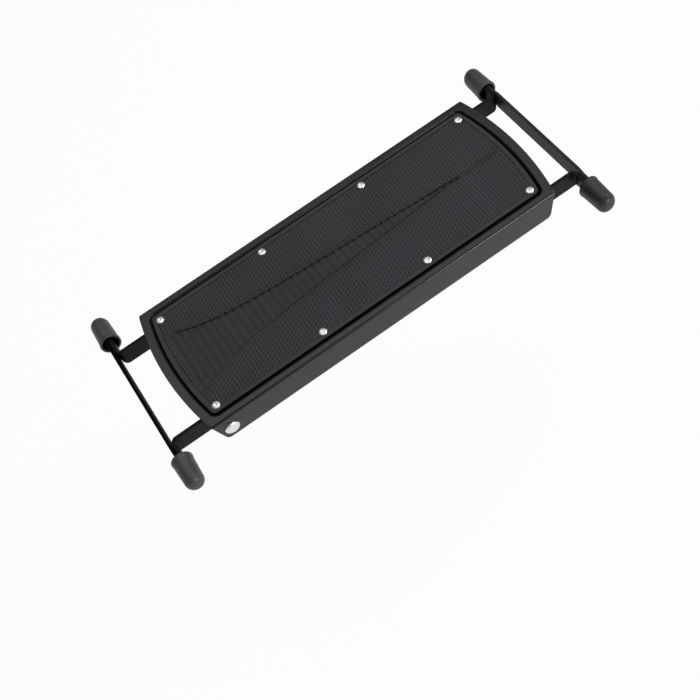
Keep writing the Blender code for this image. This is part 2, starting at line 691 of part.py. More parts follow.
def make_leg(name, side, start_x, foot_face_x, outer_y, holes, paint):
    """A leg: its blank is cut out, drilled while it is flat, then bent outwards at the foot.

    In the blank, X runs from the upper pivot to the foot and Y is the depth below the leg's
    outer face. The bend turns about a line that lies BEND_INNER outside that face.
    """
    direction = 1 if foot_face_x > start_x else -1
    bend_start = abs(foot_face_x - start_x) - BEND_INNER - BAR_THICKNESS
    neutral = BEND_INNER + BAR_THICKNESS / 2
    bend_length = neutral * math.pi / 2
    length = bend_start + bend_length + TAB_END_Y - outer_y - BEND_INNER
    blank = prism(leg_blank(length, bend_start, bend_length), "Y", 0, BAR_THICKNESS)
    leg = make_object(name, blank)
    cutters = []
    for place, radius, sink in holes:
        shape = cylinder((place, 0), "Y", radius, -OVERRUN, BAR_THICKNESS + OVERRUN)
        cutters.append(make_object("hole", shape))
        if sink:
            top = BAR_THICKNESS - PIVOT_SINK_DEPTH
            cone = [(0, top - OVERRUN), (radius, top - OVERRUN), (radius, top)]
            cone += [(sink, BAR_THICKNESS), (sink, BAR_THICKNESS + OVERRUN)]
            cone += [(0, BAR_THICKNESS + OVERRUN)]
            shape = move(turned(cone, ROUND_STEPS), Matrix.Translation((place, 0, 0)) @
                         Matrix.Rotation(-math.pi / 2, 4, "X"))
            cutters.append(make_object("sink", shape))
    cut(leg, cutters)
    shape = bmesh.new()
    shape.from_mesh(leg.data)
    for step in range(BEND_STEPS + 1):
        plane_x = bend_start + bend_length * step / BEND_STEPS
        parts = shape.verts[:] + shape.edges[:] + shape.faces[:]
        bmesh.ops.bisect_plane(shape, geom=parts, plane_co=(plane_x, 0, 0), plane_no=(1, 0, 0))
    for vertex in shape.verts:
        run, depth, height = vertex.co
        radius = BEND_INNER + depth
        turn = min(max(run - bend_start, 0), bend_length) / neutral
        past = max(run - bend_start - bend_length, 0)
        along = min(run, bend_start) + radius * math.sin(turn)
        out = outer_y + BEND_INNER - radius * math.cos(turn) + past
        vertex.co = (start_x + direction * along, side * out, PIVOT_Z + height)
    bpy.data.objects.remove(leg, do_unlink=True)
    return make_object(name, shape, paint)


def make_crossbar(name, x, paint):
    """A flat strip between the feet. It narrows to two necks with round ends for the caps."""
    half, neck = CROSSBAR_HEIGHT / 2, TAB_HEIGHT / 2
    reach = CROSSBAR_END_Y - TAB_CORNER
    rise = neck - TAB_CORNER
    shoulder = CROSSBAR_NECK_Y - CROSSBAR_TAPER
    upper = arc((reach, rise), TAB_CORNER, 0, math.pi / 2, CORNER_STEPS)
    upper += [(CROSSBAR_NECK_Y, neck), (shoulder, half), (-shoulder, half), (-CROSSBAR_NECK_Y, neck)]
    upper += arc((-reach, rise), TAB_CORNER, math.pi / 2, math.pi, CORNER_STEPS)
    outline = upper + [(-y, -z) for y, z in upper]
    outline = [(y, PIVOT_Z + z) for y, z in outline]
    low = x - CROSSBAR_THICKNESS / 2
    return make_object(name, prism(outline, "X", low, low + CROSSBAR_THICKNESS), paint)


def cap_ring(side, x, mouth, depth, half_x, half_z):
    """An oval ring of a cap, at a depth from its mouth."""
    ring = []
    for index in range(CAP_STEPS):
        angle = 2 * math.pi * index / CAP_STEPS
        ring.append((x + half_x * math.cos(angle), side * (mouth + depth),
                     PIVOT_Z + half_z * math.sin(angle)))
    return ring


def make_cap(name, side, x, push, rubber):
    """A rubber cap: a lip round its mouth, a taper, a domed end and an open bore.

    The caps are pushed on by hand, so one may sit deeper on its foot than the others.
    """
    mouth = CAP_MOUTH_Y - push
    barrel = CAP_LENGTH - CAP_DOME
    rings = []

    def outside(depth, swell):
        share = depth / barrel
        half_x = CAP_MOUTH_X + (CAP_DOME_X - CAP_MOUTH_X) * share + swell
        half_z = CAP_MOUTH_Z + (CAP_DOME_Z - CAP_MOUTH_Z) * share + swell
        rings.append(cap_ring(side, x, mouth, depth, half_x, half_z))

    for angle in CAP_DOME_ANGLES:
        depth, width = barrel + CAP_DOME * math.cos(angle), math.sin(angle)
        rings.append(cap_ring(side, x, mouth, depth, CAP_DOME_X * width, CAP_DOME_Z * width))
    outside(barrel, 0)
    outside(barrel / 2, 0)
    outside(CAP_LIP_LENGTH + CAP_LIP, 0)
    outside(CAP_LIP_LENGTH, CAP_LIP)
    outside(CAP_LIP, CAP_LIP)
    outside(0, 0)
    rings.append(cap_ring(side, x, mouth, 0, CAP_BORE_MOUTH_X, CAP_BORE_MOUTH_Z))
    edge = CAP_BORE_LENGTH - CAP_BORE_EDGE
    rings.append(cap_ring(side, x, mouth, edge, CAP_BORE_END_X, CAP_BORE_END_Z))
    rings.append(cap_ring(side, x, mouth, CAP_BORE_LENGTH, CAP_BORE_END_X - CAP_BORE_EDGE,
                          CAP_BORE_END_Z - CAP_BORE_EDGE))
    return make_object(name, loft(rings), rubber)


def make_scissor_rivet(name, side, steel):
    """A rivet at the crossing: its head is outside the long leg, its tail inside the short one."""
    inside = SHORT_LEG_OUTER_Y - BAR_THICKNESS - SEAT_GAP
    outside = LONG_LEG_OUTER_Y + SEAT_GAP
    tail = domed_head(SCISSOR_TAIL, SCISSOR_TAIL_HEIGHT, 0)
    profile = [(radius, inside - height) for radius, height in reversed(tail)]
    profile += [(RIVET_SHANK, inside), (RIVET_SHANK, outside)]
    profile += domed_head(SCISSOR_HEAD, SCISSOR_HEAD_HEIGHT, outside)
    shape = move(turned(profile, ROUND_STEPS), along_y(side, TRAY_X + CROSSING_X, 0, PIVOT_Z))
    return make_object(name, shape, steel)


def make_washer(name, side, steel):
    """A washer between the crossing legs."""
    low = SHORT_LEG_OUTER_Y + SEAT_GAP
    high = LONG_LEG_OUTER_Y - BAR_THICKNESS - SEAT_GAP
    shape = ring_solid(RIVET_HOLE, WASHER_RADIUS, low, high, ROUND_STEPS)
    move(shape, along_y(side, TRAY_X + CROSSING_X, 0, PIVOT_Z))
    return make_object(name, shape, steel)


def make_latch_rod(steel):
    """The rod between the short legs' upper ends. Its tenons sit in the legs' holes."""
    shoulder = SHORT_LEG_OUTER_Y - BAR_THICKNESS - SEAT_GAP
    end = SHORT_LEG_OUTER_Y - SEAT_GAP
    half = [(ROD_RADIUS - ROD_CHAMFER, shoulder), (ROD_TENON, shoulder), (ROD_TENON, end), (0, end)]
    profile = [(radius, -height) for radius, height in reversed(half)]
    profile += [(ROD_RADIUS, ROD_CHAMFER - shoulder), (ROD_RADIUS, shoulder - ROD_CHAMFER)]
    profile += half
    shape = move(turned(profile, ROUND_STEPS), along_y(1, TRAY_X + ROD_X, 0, PIVOT_Z))
    return make_object("latch_rod", shape, steel)


# Assembly

def hang(items, empty):
    """Put the pieces' origins on a pivot and parent them to its empty, without moving them."""
    bpy.context.view_layer.update()
    pivot = empty.matrix_world.translation.copy()
    for item in items:
        item.data.transform(Matrix.Translation(-pivot))
        item.parent = empty


def make_pivot_empty(name, x, parent=None):
    """An empty on a pivot's axis, at the middle of the stand."""
    empty = bpy.data.objects.new(name, None)
    bpy.context.collection.objects.link(empty)
    origin = parent.location if parent else Vector((0, 0, 0))
    empty.location = Vector((TRAY_X + x, 0, PIVOT_Z)) - origin
    empty.parent = parent
    return empty


def build():
    """Make every piece and hang the two leg frames on their pivots."""
    clear_scene()
    paint = make_material("black_paint", (0.022, 0.023, 0.026), 0.42, 0.0)
    rubber = make_material("mat_rubber", (0.016, 0.016, 0.018), 0.75, 0.0)
    soft = make_material("cap_rubber", (0.045, 0.045, 0.048), 0.62, 0.0)
    steel = make_material("bright_steel", (0.78, 0.79, 0.80), 0.26, 1.0)

    make_tray(paint)
    make_tread(rubber)
    make_mat_rivets(steel)
    sides = (("near", -1), ("far", 1))
    for word, side in sides:
        make_rack(f"rack_{word}", side, paint)
        make_pivot_rivet(f"pivot_rivet_{word}", side, steel)
        make_bush(f"pivot_bush_{word}", side, steel)

    long_pivot = make_pivot_empty("long_leg_pivot", PIVOT_X)
    crossing = make_pivot_empty("crossing_pivot", CROSSING_X, long_pivot)
    tab_gap = CROSSBAR_THICKNESS / 2 + SEAT_GAP
    long_face = TRAY_X + LONG_FOOT_X - tab_gap
    short_face = TRAY_X + SHORT_FOOT_X + tab_gap
    long_holes = ((0, RIVET_HOLE, PIVOT_TAIL + 2 * SEAT_GAP), (PIVOT_TO_CROSSING, RIVET_HOLE, 0))
    short_holes = ((0, ROD_TENON + SEAT_GAP, 0), (CROSSING_TO_ROD, RIVET_HOLE, 0))

    long_frame = [make_crossbar("long_leg_crossbar", TRAY_X + LONG_FOOT_X, paint)]
    short_frame = [make_crossbar("short_leg_crossbar", TRAY_X + SHORT_FOOT_X, paint)]
    short_frame.append(make_latch_rod(steel))
    for word, side in sides:
        long_frame.append(make_leg(f"long_leg_{word}", side, TRAY_X + PIVOT_X, long_face,
                                   LONG_LEG_OUTER_Y, long_holes, paint))
        long_frame.append(make_cap(f"long_leg_cap_{word}", side, TRAY_X + LONG_CAP_X, 0, soft))
        long_frame.append(make_scissor_rivet(f"scissor_rivet_{word}", side, steel))
        long_frame.append(make_washer(f"scissor_washer_{word}", side, steel))
        short_frame.append(make_leg(f"short_leg_{word}", side, TRAY_X + ROD_X, short_face,
                                    SHORT_LEG_OUTER_Y, short_holes, paint))
        push = CAP_DEEPEST_PUSH if word == "near" else 0
        short_frame.append(make_cap(f"short_leg_cap_{word}", side, TRAY_X + SHORT_CAP_X, push, soft))
    hang(long_frame, long_pivot)
    hang(short_frame, crossing)


build()
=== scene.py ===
# %% [markdown]
# # A folding guitar footrest
#
# The real thing is a pressed steel tray, painted satin black, with a rubber tread riveted into
# its recess. It stands on two pairs of flat steel legs that cross like scissors, and the legs'
# feet wear rubber caps. Here it is folded flat, as it travels in a guitar case.
#
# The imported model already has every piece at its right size. This lesson gives each piece the
# fine surface that the eye looks for: rolled edges, a moulded tread, turned rivet heads and
# finishes that catch the light as paint, rubber and plated steel do.

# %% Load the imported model
import math

import bmesh
import bpy
import numpy as np
from mathutils import Matrix, Vector


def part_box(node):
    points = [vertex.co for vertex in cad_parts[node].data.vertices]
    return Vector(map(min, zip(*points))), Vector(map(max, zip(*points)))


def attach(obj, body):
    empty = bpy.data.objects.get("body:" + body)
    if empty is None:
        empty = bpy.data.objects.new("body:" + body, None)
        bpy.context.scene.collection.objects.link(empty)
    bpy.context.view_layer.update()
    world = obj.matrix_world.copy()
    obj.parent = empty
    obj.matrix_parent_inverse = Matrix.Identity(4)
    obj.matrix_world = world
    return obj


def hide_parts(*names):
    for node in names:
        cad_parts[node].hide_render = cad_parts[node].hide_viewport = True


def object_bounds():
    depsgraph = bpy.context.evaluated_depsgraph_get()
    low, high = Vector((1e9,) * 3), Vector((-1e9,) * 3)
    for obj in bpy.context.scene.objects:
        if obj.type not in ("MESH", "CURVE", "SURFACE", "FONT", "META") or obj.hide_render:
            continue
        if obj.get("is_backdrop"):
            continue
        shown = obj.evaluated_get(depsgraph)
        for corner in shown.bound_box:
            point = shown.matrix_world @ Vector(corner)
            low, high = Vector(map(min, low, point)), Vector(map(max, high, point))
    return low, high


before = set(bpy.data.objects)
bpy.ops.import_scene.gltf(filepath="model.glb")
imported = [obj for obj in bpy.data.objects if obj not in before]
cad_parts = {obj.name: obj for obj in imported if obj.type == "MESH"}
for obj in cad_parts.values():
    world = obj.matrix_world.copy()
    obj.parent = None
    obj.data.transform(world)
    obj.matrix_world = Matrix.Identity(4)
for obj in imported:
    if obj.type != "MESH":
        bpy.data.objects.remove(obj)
cad_low, cad_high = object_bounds()
print("pieces in the packed model:", len(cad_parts))
print("its size in mm:", [round(1000 * side, 1) for side in cad_high - cad_low])

# %% [markdown]
# ## A surface from a grid of points
#
# Most pieces here are skins: rings of points, one after another, joined by four-sided faces. A
# turned rivet, a rubber cap and the folded tray differ only in how their rings are worked out.
# So one function takes an array of rings and makes the mesh. An end can close in one point. A
# long flat end is better closed with a net: rungs run across it from each point on one side to
# the point opposite, and points along the rungs may carry detail, such as a tread's grooves.

# %% Make a mesh from rings
def net_faces(ring, inner):
    """Faces of a net inside a ring. inner[i, k] are the points along rung i, near side first."""
    half = len(ring) // 2
    near, far = ring[1:half], ring[:half:-1]
    net = np.column_stack([near, inner, far])
    quads = np.stack([net[:-1, :-1], net[:-1, 1:], net[1:, 1:], net[1:, :-1]], axis=-1)
    faces = quads.reshape(-1, 4).tolist()
    for apex, rung in ((ring[0], net[0]), (ring[half], net[-1])):
        fan = np.stack([np.full(len(rung) - 1, apex), rung[:-1], rung[1:]], axis=-1)
        faces += fan.tolist()
    return faces


def skin(name, rings, first_end=None, last_end=None):
    """Join rings[i, j] to its neighbours in both directions and close the two ends.

    rings is an array of (rings, points in a ring, 3). An end is None for a fan round the
    ring's middle, or an array (rungs, points on a rung, 3) for a net.
    """
    count_rings, count = rings.shape[:2]
    index = np.arange(count_rings * count).reshape(count_rings, count)
    following = np.roll(index, -1, axis=1)
    quads = np.stack([index[:-1], following[:-1], following[1:], index[1:]], axis=-1)
    faces = quads.reshape(-1, 4).tolist()
    points = rings.reshape(-1, 3)
    for row, inner in ((0, first_end), (-1, last_end)):
        start = len(points)
        if inner is None:
            points = np.vstack([points, rings[row].mean(axis=0)])
            ring = index[row]
            fan = np.stack([ring, np.roll(ring, -1), np.full(count, start)], axis=-1)
            faces += fan.tolist()
        else:
            points = np.vstack([points, inner.reshape(-1, 3)])
            places = start + np.arange(inner.shape[0] * inner.shape[1])
            faces += net_faces(index[row], places.reshape(inner.shape[:2]))
    mesh = bpy.data.meshes.new(name)
    mesh.from_pydata(points.tolist(), [], faces)
    tidy = bmesh.new()
    tidy.from_mesh(mesh)
    bmesh.ops.recalc_face_normals(tidy, faces=tidy.faces)
    tidy.to_mesh(mesh)
    tidy.free()
    mesh.shade_smooth()
    piece = bpy.data.objects.new(name, mesh)
    bpy.context.collection.objects.link(piece)
    print(f"{name}: {len(mesh.polygons)} faces")
    return piece


def dress(piece, body, nodes, finish):
    """Give a new piece its finish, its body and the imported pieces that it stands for."""
    piece.data.materials.append(finish)
    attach(piece, body)
    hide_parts(*nodes)


# %% [markdown]
# ## Rounded paths
#
# A pressed sheet has no sharp corner. Its section is a path of straight runs, and at each bend
# an arc touches both runs. The function below walks such a path and puts the arcs in, so a
# section can be written as its corners and their radii. Next to each arc it adds a point a
# little way along the straight run. That point keeps the flat part's shading flat.

# %% Put arcs into a path
def rounded_path(corners, radii, steps=6, guard=0.0002):
    """Replace each inner corner of a flat path by an arc that is tangent to both its runs.

    The arc's centre lies on the corner's bisector, radius / sin(half angle) away.
    """
    corners = np.array(corners, float)
    path = [corners[:1]]
    for before, corner, after, radius in zip(corners[:-2], corners[1:-1], corners[2:], radii):
        back = (before - corner) / np.linalg.norm(before - corner)
        ahead = (after - corner) / np.linalg.norm(after - corner)
        half = math.acos(np.clip(back @ ahead, -1, 1)) / 2
        bisector = (back + ahead) / np.linalg.norm(back + ahead)
        middle = corner + bisector * radius / math.sin(half)
        start = corner + back * radius / math.tan(half)
        end = corner + ahead * radius / math.tan(half)
        share = np.linspace(0, 1, steps + 1)[:, None]
        sweep = math.pi - 2 * half
        arc = (np.sin((1 - share) * sweep) * (start - middle)
               + np.sin(share * sweep) * (end - middle)) / math.sin(sweep) + middle
        path += [(start + back * guard)[None], arc, (end + ahead * guard)[None]]
    path.append(corners[-1:])
    return np.vstack(path)


# %% [markdown]
# ## Finishes as arithmetic
#
# A finish is a small sum: a base colour, plus a little noise, times a mask. In the shader
# editor each of those signs is a node. The class below lets Python's own signs add the nodes,
# so a formula reads as a formula. One method makes any other node.

# %% Wrap shader sockets and nodes
class Wire:
    """The output of a shader node. Adding, subtracting and multiplying adds Math nodes."""

    def __init__(self, finish, socket):
        self.finish = finish
        self.socket = socket

    def math(self, operation, first, second):
        return self.finish.node("Math", {"operation": operation}, {0: first, 1: second})

    def __add__(self, other):
        return self.math("ADD", self, other)

    def __radd__(self, other):
        return self.math("ADD", other, self)

    def __sub__(self, other):
        return self.math("SUBTRACT", self, other)

    def __rsub__(self, other):
        return self.math("SUBTRACT", other, self)

    def __mul__(self, other):
        return self.math("MULTIPLY", self, other)

    def __rmul__(self, other):
        return self.math("MULTIPLY", other, self)


class Finish:
    """A material with one Principled shader. node() adds any node, and feed() fills a socket."""

    def __init__(self, name):
        self.material = bpy.data.materials.new(name)
        self.material.use_nodes = True
        self.tree = self.material.node_tree
        self.shader = self.tree.nodes["Principled BSDF"]

    def feed(self, socket, value):
        """Link a wire to a socket, or set the socket to a plain value."""
        if isinstance(value, Wire):
            self.tree.links.new(value.socket, socket)
        else:
            socket.default_value = value

    def node(self, kind, settings=None, inputs=None, output=0):
        """Add a shader node: its settings come first, then its inputs."""
        made = self.tree.nodes.new("ShaderNode" + kind)
        for key, value in (settings or {}).items():
            setattr(made, key, value)
        for key, value in (inputs or {}).items():
            self.feed(made.inputs[key], value)
        return Wire(self, made.outputs[output])

    def place(self):
        """A point on the piece, in metres."""
        return self.node("TexCoord", output="Object")

    def noise(self, scale, detail=2.0):
        """Smooth noise from 0 to 1 whose features are about 1 / scale metres wide."""
        inputs = {"Vector": self.place(), "Scale": scale, "Detail": detail}
        return self.node("TexNoise", inputs=inputs)

    def spread(self, value, low, high):
        """Move a value's range from low..high to 0..1, and stop at its ends."""
        inputs = {"Value": value, "From Min": low, "From Max": high}
        return self.node("MapRange", {"interpolation_type": "SMOOTHSTEP"}, inputs)

    def blend(self, share, first, second):
        """Mix two colours by a share from 0 to 1."""
        return self.node("Mix", {"data_type": "RGBA"}, {0: share, 6: first, 7: second}, output=2)

    def attribute(self, name):
        """The number that the mesh stores at each point under this name."""
        return self.node("Attribute", {"attribute_name": name}, output="Fac")

    def bump(self, height, distance, strength=1.0):
        """Tilt the surface as a height of so many metres would."""
        inputs = {"Height": height, "Distance": distance, "Strength": strength}
        return self.node("Bump", inputs=inputs)

    def paint(self, **sockets):
        """Fill the shader's sockets, with an underscore for each space in a name."""
        for name, value in sockets.items():
            self.feed(self.shader.inputs[name.replace("_", " ")], value)
        return self.material


# %% [markdown]
# ## Black paint
#
# Steel like this is sprayed or powder coated. The coat is nearly black, and its gloss is
# neither mirror nor matt. It never lies quite flat: it has a faint orange peel, about a
# millimetre from bump to bump. A slow drift in roughness breaks up the wide reflections, as
# handling does. Where hardly any light gets in, such as the foot of the recess's wall, shade is
# painted in: an attribute on the mesh marks that painted shade, and there the colour turns dead
# black and the gloss goes too.
#
# The legs and the crossbars are duller than the tray. Both crossbars wear the same paint, but each
# has its own mix of grey and gloss: the long one's lighter mix is painted light, and the short
# one's darker, glossless mix is painted shade.

# %% The paint on the tray and the legs
# The colour of painted shade, where hardly any light gets in.
PAINTED_SHADE_BLACK = (0.0024, 0.0024, 0.0026, 1.0)


def mark(piece, name, values):
    """Store one number at each of the mesh's points, for a material to read."""
    attribute = piece.data.attributes.new(name, "FLOAT", "POINT")
    attribute.data.foreach_set("value", np.ravel(values))


def black_paint(name, grey, roughness, gloss):
    """Paint whose colour and roughness drift by a few hundredths, under a fine orange peel."""
    finish = Finish(name)
    drift = finish.noise(22.0)
    speck = finish.noise(2600.0, 1.0)
    peel = finish.noise(750.0, 1.0)
    dark = (grey * 0.80, grey * 0.80, grey * 1.0, 1.0)
    light = (grey * 1.25, grey * 1.25, grey * 1.50, 1.0)
    # Painted shade: where the mesh's attribute is 1, the colour turns black and the gloss goes.
    painted_shade = finish.attribute("painted_shade")
    colour = finish.blend(finish.spread(drift, 0.3, 0.7), dark, light)
    colour = finish.blend(painted_shade, colour, PAINTED_SHADE_BLACK)
    roughness = roughness + (drift - 0.5) * 0.14 + painted_shade * 0.4
    return finish.paint(Base_Color=colour, Roughness=roughness, Metallic=painted_shade * 0.8,
                        Specular_IOR_Level=gloss,
                        Normal=finish.bump(peel * 0.8 + speck * 0.2, 0.00006, 0.5))


tray_paint = black_paint("tray_paint", 0.0094, 0.24, 0.33)
leg_paint = black_paint("leg_paint", 0.003, 0.50, 0.12)
# One paint, lit and shaded: painted light on the long crossbar, painted shade on the short one.
lit_long_bar_paint = black_paint("long_crossbar_lit_paint", 0.020, 0.50, 0.12)
shaded_short_bar_paint = black_paint("short_crossbar_shaded_paint", 0.003, 0.70, 0.02)
print("paints:", tray_paint.name, leg_paint.name, lit_long_bar_paint.name, shaded_short_bar_paint.name)

# %% [markdown]
# ## Rubber
#
# The tread is moulded with thousands of dimples in staggered rows, and the shade in them is
# painted in as a darker colour. Three cosine waves, each turned by 60 degrees from the last, add
# up to exactly that pattern: where all three crests meet there is a dimple. So the dimples need no
# geometry, only a sum of waves, a bump and that painted shade. One attribute on the mesh says
# where the mould has them and where it is smooth, and below 0 it makes the rubber paler: a painted
# highlight. A second one paints shade on the mat's edge, its border line, its grooves and the
# band's edges, where little light gets in.
#
# The caps are plain moulded rubber: a little paler, with a soft sheen and a dusty bloom. One of
# them is given a darker mix of the same rubber: painted shade.

# %% The rubber of the tread and the caps
DOT_PITCH = 0.00308


def dot_waves(finish):
    """Sum of three cosines, 3 in a dimple's middle and about -1.5 between the dimples."""
    turn = 2 * math.pi / DOT_PITCH
    x, y, _ = (finish.node("SeparateXYZ", inputs={"Vector": finish.place()}, output=axis)
               for axis in range(3))
    slope = 1 / math.sqrt(3)
    phases = [x * (2 * slope * turn), x * (slope * turn) + y * turn, x * (slope * turn) - y * turn]
    waves = [finish.node("Math", {"operation": "COSINE"}, {0: phase}) for phase in phases]
    return waves[0] * 1.3 + waves[1] * 0.85 + waves[2] * 0.85


def tread_rubber():
    """Dark rubber with dimples where the mesh's dots attribute is 1."""
    finish = Finish("tread_rubber")
    here = finish.attribute("dimple_shade_and_highlight")
    painted_shade = finish.attribute("painted_shade")
    level = (1 - finish.spread(dot_waves(finish), -0.5, 2.2)) * here
    drift = finish.noise(30.0)
    grain = finish.noise(1800.0, 2.0)
    # Painted shade: the dimples' hollows get a darker colour than the rubber around them.
    shaded_hollow_colour = (0.0070, 0.0068, 0.0110, 1.0)
    ground = (0.0292, 0.0287, 0.0350, 1.0)
    share = 0.75 + here * (level * 0.75 - 0.75) + finish.spread(drift, 0.3, 0.7) * 0.25
    colour = finish.blend(painted_shade, finish.blend(share, shaded_hollow_colour, ground), PAINTED_SHADE_BLACK)
    return finish.paint(Base_Color=colour, Roughness=0.62 + (drift - 0.5) * 0.10 + painted_shade * 0.3,
                        Metallic=painted_shade * 0.8, Specular_IOR_Level=0.38,
                        Normal=finish.bump(level + grain * 0.08, 0.00032))


def cap_rubber(name, dark, light):
    """Smooth rubber with a slow change of shade and a fine grain."""
    finish = Finish(name)
    drift = finish.noise(60.0)
    grain = finish.noise(1500.0, 2.0)
    colour = finish.blend(finish.spread(drift, 0.3, 0.7), (dark, dark, dark * 1.09, 1.0),
                          (light, light, light * 1.09, 1.0))
    return finish.paint(Base_Color=colour, Roughness=0.50 + (drift - 0.5) * 0.14,
                        Normal=finish.bump(grain, 0.00005, 0.5))


tread_finish = tread_rubber()
cap_finish = cap_rubber("cap_rubber", 0.035, 0.050)
# Painted shade: the same rubber, darker, for one cap.
shaded_cap_finish = cap_rubber("shaded_cap_rubber", 0.010, 0.018)
print("rubbers:", tread_finish.name, cap_finish.name, shaded_cap_finish.name)

# %% [markdown]
# ## Plated steel
#
# Rivets, bushes and the rod are zinc plated. The plating is bright, but it isn't a mirror: it
# has soft marks from the tumbling drum, which show as patches of more and less gloss.

# %% The plating on rivets and rod
def plated_steel():
    """Metal whose roughness wanders between bright and brushed."""
    finish = Finish("plated_steel")
    marks = finish.noise(900.0, 3.0)
    colour = finish.blend(finish.spread(marks, 0.35, 0.65), (0.70, 0.71, 0.72, 1.0),
                          (0.86, 0.86, 0.87, 1.0))
    return finish.paint(Base_Color=colour, Metallic=1.0, Roughness=0.20 + marks * 0.18,
                        Normal=finish.bump(marks, 0.00003, 0.5))


steel_finish = plated_steel()
print("plating:", steel_finish.name)

# %% [markdown]
# ## The tray's plan
#
# Seen from above, the tray has straight sides and bowed ends. Everything on it follows that
# plan at some distance inwards: the recess, its floor and the mat. So the plan is a function of
# an inset. It is worked out for one quarter, from the middle of an end, round a corner, to the
# middle of a side. Two quarters make the near half, and the far half is its mirror image.

# %% Work out the plan for any inset
tray_low, tray_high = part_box("tray")
TRAY_X = (tray_low.x + tray_high.x) / 2
RIM_TOP = tray_high.z
HALF_WIDTH = tray_high.y
HALF_SPAN = (tray_high.x - tray_low.x) / 2
END_BULGE = 0.0072
HALF_LENGTH = HALF_SPAN - END_BULGE
END_RADIUS = (END_BULGE ** 2 + HALF_WIDTH ** 2) / (2 * END_BULGE)
END_CENTRE = HALF_SPAN - END_RADIUS
END_SHARES = np.linspace(0, 1, 25)
CORNER_SHARES = np.linspace(0, 1, 17)[1:]
ON_SIDE = len(END_SHARES) + len(CORNER_SHARES) - 1


def plan_corner(side_inset, end_inset, corner):
    """The middle of the plan's corner arc, which touches both the end's arc and the side."""
    y = HALF_WIDTH - side_inset - corner
    return END_CENTRE + np.sqrt((END_RADIUS - end_inset - corner) ** 2 - y ** 2), y


def plan_quarter(side_inset, end_inset, corner, side_shares):
    """One quarter of the plan for columns of insets and corner radii: a ring for each row.

    An end is an arc about a centre on the X axis. The corner's own arc starts where the line
    from that centre through the corner's middle meets the end.
    """
    corner_x, corner_y = plan_corner(side_inset, end_inset, corner)
    lean = np.arctan2(corner_y, corner_x - END_CENTRE)
    angle = lean * END_SHARES
    turn = lean + (math.pi / 2 - lean) * CORNER_SHARES
    bow = END_RADIUS - end_inset
    side = corner_x * (1 - side_shares)
    x = np.hstack([END_CENTRE + bow * np.cos(angle), corner_x + corner * np.cos(turn), side])
    y = np.hstack([bow * np.sin(angle), corner_y + corner * np.sin(turn),
                   HALF_WIDTH - side_inset + 0 * side])
    return x, y


def whole_rings(left, right):
    """Join left and right quarters (rings, points, 3) and mirror them across the X axis."""
    near = np.hstack([left * (-1, -1, 1), right[:, -2::-1] * (1, -1, 1)])
    return np.hstack([near, near[:, -2:0:-1] * (1, -1, 1)]) + (TRAY_X, 0, 0)


print("half the tray's width and length in mm:", 1000 * HALF_WIDTH, 1000 * HALF_SPAN)

# %% [markdown]
# ## The tray
#
# The tray is one sheet, pressed and folded. Its skin can be followed in one walk: from the
# middle of the recess up its wall, over the lip, across the rim, round the bend, down the
# outside of the flange, back up its inside and under the pan. Along the sides the walk goes
# down the flange. Round the ends, where there is no flange, the same steps shrink into the cut
# edge of the sheet. One table of steps for each kind of place gives the whole tray.

# %% Shapes of the tray's section
SHEET = 0.0014
RIM_WIDTH = 0.0053
END_RIM_EXTRA, RIM_FLAT = 0.0008, 0.0030
RECESS_DEPTH = 0.0029
RECESS_DRAFT = 0.0014
RECESS_CORNER = 0.0062
LIP_RADIUS = 0.0012
FLOOR_RADIUS = 0.0010
BEND_RADIUS = 0.0018
PAN_REACH = 0.0110
EDGE_BREAK = 0.00025
GUARD = 0.0003
FLANGE_SLOPE = 0.0052
FLANGE_CORNER = 0.0040
SHARP_CORNER = 0.0008


def flange_drop(x):
    """How far the flange reaches below the rim's top at a distance x from the tray's middle.

    The end leans in by FLANGE_SLOPE over the height, and an arc rounds its lower corner.
    """
    tilt = math.atan(FLANGE_SLOPE / RIM_TOP)
    reach = FLANGE_CORNER * math.tan((math.pi / 2 - tilt) / 2)
    arc_x = HALF_LENGTH - FLANGE_SLOPE - reach
    rise = np.sqrt(np.clip(FLANGE_CORNER ** 2 - (x - arc_x) ** 2, 0, None))
    rounded = RIM_TOP - FLANGE_CORNER + rise
    leaning = RIM_TOP * (HALF_LENGTH - x) / FLANGE_SLOPE
    past = arc_x + FLANGE_CORNER * math.cos(tilt)
    drop = np.where(x < arc_x, RIM_TOP, np.where(x < past, rounded, leaning))
    return np.clip(drop, BEND_RADIUS + 4 * GUARD, RIM_TOP)


def bend_drop(y):
    """How far the bend's outside lies below the rim's top at a distance y from the middle."""
    past = np.clip(y - (HALF_WIDTH - BEND_RADIUS), 0, BEND_RADIUS)
    return BEND_RADIUS - np.sqrt(BEND_RADIUS ** 2 - past ** 2)


def rim_sections():
    """Steps (inset, drop) of the recess and the rim, seen from above and from below."""
    lean = RECESS_DRAFT / RECESS_DEPTH
    top = rounded_path([(PAN_REACH, RECESS_DEPTH), (RIM_WIDTH + RECESS_DRAFT, RECESS_DEPTH),
                        (RIM_WIDTH, 0), (BEND_RADIUS + GUARD, 0)], (FLOOR_RADIUS, LIP_RADIUS))
    neck = RIM_WIDTH - SHEET * math.hypot(1, lean)
    deep = RECESS_DEPTH + SHEET
    under = rounded_path([(BEND_RADIUS + GUARD, SHEET), (neck + lean * SHEET, SHEET),
                          (neck + lean * deep, deep), (PAN_REACH, deep)],
                         (GUARD, FLOOR_RADIUS + SHEET))
    return top, under


